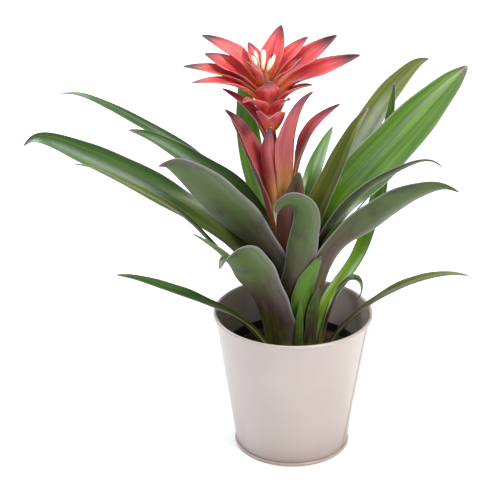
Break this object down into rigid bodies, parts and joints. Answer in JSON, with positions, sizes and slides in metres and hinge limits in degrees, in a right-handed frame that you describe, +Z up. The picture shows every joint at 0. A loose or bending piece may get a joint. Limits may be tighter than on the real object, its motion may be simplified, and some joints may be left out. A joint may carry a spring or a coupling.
{
  "type": "potted bromeliad",
  "caption": "Bromeliad with a red bract head on a leafy stem, rooted in mix inside a nursery pot, standing in a tapered painted metal pot.",
  "frame": {"origin": "centre of the pot's flat base, on the surface it stands on", "axes": "+Z up along the pot's axis; -Y faces the side the plant is shown from, and the flower stem leans towards -X"},
  "size_m": [0.3917, 0.2972, 0.3792],
  "materials": {
    "pot_paint": "satin greige paint on thin steel sheet",
    "black_plastic": "matt black moulded plastic",
    "potting_mix": "damp bark and peat crumbs",
    "leaf_tissue": "waxy green leaf, matt purple grey beneath",
    "stem_tissue": "smooth green and brown stem",
    "bract_tissue": "satin coral red, darker and lilac towards the tips",
    "floret_tissue": "soft cream petals"
  },
  "bodies": {
    "root": {"pot_wall": "pot_paint", "pot_base": "pot_paint", "nursery_pot": "black_plastic", "potting_mix": "potting_mix", "scape": "stem_tissue", "leaf_right_upper_narrow": "leaf_tissue", "leaf_left_upper_short": "leaf_tissue", "leaf_front_column": "leaf_tissue", "leaf_back_right_upper": "leaf_tissue", "leaf_front_left_broad": "leaf_tissue", "leaf_right_folded": "leaf_tissue", "leaf_back_tall": "leaf_tissue", "leaf_right_broad": "leaf_tissue", "leaf_left_upper_long": "leaf_tissue", "leaf_right_strip": "leaf_tissue", "leaf_right_front": "leaf_tissue", "leaf_left_long": "leaf_tissue", "leaf_right_olive": "leaf_tissue", "leaf_left_short": "leaf_tissue", "leaf_front_pointed": "leaf_tissue", "leaf_back_upper": "leaf_tissue", "leaf_left_under": "leaf_tissue", "leaf_back_low_left": "leaf_tissue", "leaf_front_strap": "leaf_tissue", "leaf_right_strap": "leaf_tissue", "leaf_front_left_turned": "leaf_tissue", "leaf_front_dark": "leaf_tissue", "leaf_right_low_narrow": "leaf_tissue", "leaf_right_curled": "leaf_tissue", "leaf_left_low": "leaf_tissue", "leaf_right_low": "leaf_tissue", "bract_stem_front": "bract_tissue", "bract_stem_left_broad": "bract_tissue", "bract_stem_left_olive": "bract_tissue", "bract_stem_right": "bract_tissue", "bract_stem_left_high": "bract_tissue", "bract_stem_right_high": "bract_tissue", "bract_stem_front_high": "bract_tissue", "bract_low_front": "bract_tissue", "bract_low_right": "bract_tissue", "bract_low_front_left": "bract_tissue", "bract_low_right_side": "bract_tissue", "bract_left_droop": "bract_tissue", "bract_back_right": "bract_tissue", "bract_left_long": "bract_tissue", "bract_right_long": "bract_tissue", "bract_front_cup": "bract_tissue", "bract_back_left": "bract_tissue", "bract_left_mid": "bract_tissue", "bract_right_upper": "bract_tissue", "bract_left_upper": "bract_tissue", "bract_back": "bract_tissue", "bract_right_small": "bract_tissue", "bract_inner_left": "bract_tissue", "bract_right_peak": "bract_tissue", "bract_back_peak": "bract_tissue", "bract_left_peak": "bract_tissue", "bract_inner_right": "bract_tissue", "floret_left": "floret_tissue", "floret_front": "floret_tissue"}
  },
  "joints": []
}
